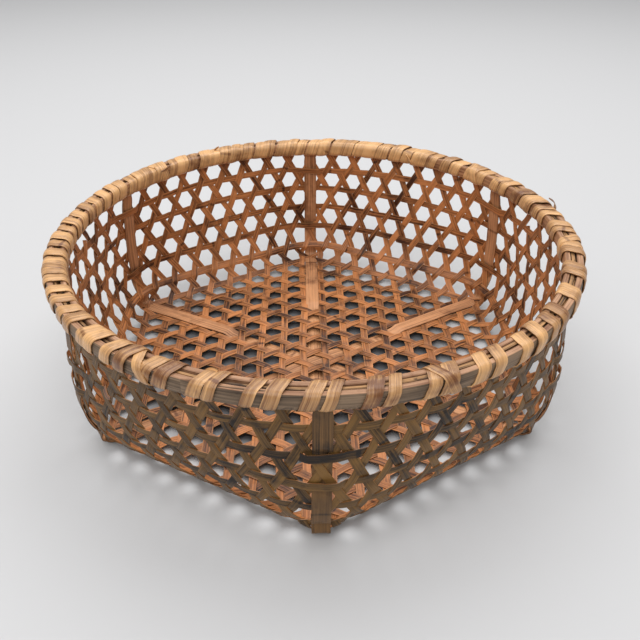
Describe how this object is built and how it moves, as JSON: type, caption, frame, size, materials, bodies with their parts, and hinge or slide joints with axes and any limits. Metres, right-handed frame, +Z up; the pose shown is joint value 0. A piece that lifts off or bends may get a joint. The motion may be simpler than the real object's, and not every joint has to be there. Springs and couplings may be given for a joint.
{
  "type": "bamboo harvest basket",
  "caption": "Round-rimmed harvest basket in open hexagonal bamboo weave, with a six-sided base, crossed braces under it and a lashed double-hoop rim.",
  "frame": {"origin": "centre of the basket's plan at the surface it stands on", "axes": "+Z up out of the basket's mouth, -Y towards the corner of the base that faces the picture's camera, +X to the right there"},
  "size_m": [0.5008, 0.5008, 0.165],
  "materials": {
    "woven_strip": "aged bamboo, warm brown, satin",
    "weft_strip": "aged bamboo, warm brown, satin",
    "brace_strip": "wide split bamboo, brown, satin",
    "hoop_skin": "weathered bamboo skin, grey brown",
    "hoop_cut": "cut bamboo, pale tan",
    "lashing_strip": "straw coloured bamboo, low gloss"
  },
  "bodies": {
    "root": {"stake_a_01": "woven_strip", "stake_b_01": "woven_strip", "stake_c_01": "woven_strip", "stake_a_02": "woven_strip", "stake_b_02": "woven_strip", "stake_c_02": "woven_strip", "stake_a_03": "woven_strip", "stake_b_03": "woven_strip", "stake_c_03": "woven_strip", "stake_a_04": "woven_strip", "stake_b_04": "woven_strip", "stake_c_04": "woven_strip", "stake_a_05": "woven_strip", "stake_b_05": "woven_strip", "stake_c_05": "woven_strip", "stake_a_06": "woven_strip", "stake_b_06": "woven_strip", "stake_c_06": "woven_strip", "stake_a_07": "woven_strip", "stake_b_07": "woven_strip", "stake_c_07": "woven_strip", "stake_a_08": "woven_strip", "stake_b_08": "woven_strip", "stake_c_08": "woven_strip", "stake_a_09": "woven_strip", "stake_b_09": "woven_strip", "stake_c_09": "woven_strip", "stake_pair_01": "woven_strip", "stake_c_10": "woven_strip", "stake_pair_02": "woven_strip", "stake_c_11": "woven_strip", "stake_pair_03": "woven_strip", "stake_c_12": "woven_strip", "stake_pair_04": "woven_strip", "stake_c_13": "woven_strip", "stake_pair_05": "woven_strip", "stake_c_14": "woven_strip", "stake_pair_06": "woven_strip", "stake_c_15": "woven_strip", "stake_pair_07": "woven_strip", "stake_c_16": "woven_strip", "stake_pair_08": "woven_strip", "stake_c_17": "woven_strip", "stake_a_18": "woven_strip", "stake_b_18": "woven_strip", "stake_c_18": "woven_strip", "weft_1": "weft_strip", "weft_2": "weft_strip", "weft_3": "weft_strip", "weft_4": "weft_strip", "weft_5": "weft_strip", "brace_front": "brace_strip", "brace_right": "brace_strip", "brace_left": "brace_strip", "outer_hoop": "hoop_skin", "inner_hoop": "hoop_cut", "rim_filler": "lashing_strip", "rim_lashing_1": "lashing_strip", "rim_lashing_2": "lashing_strip", "rim_lashing_3": "lashing_strip"}
  },
  "joints": []
}
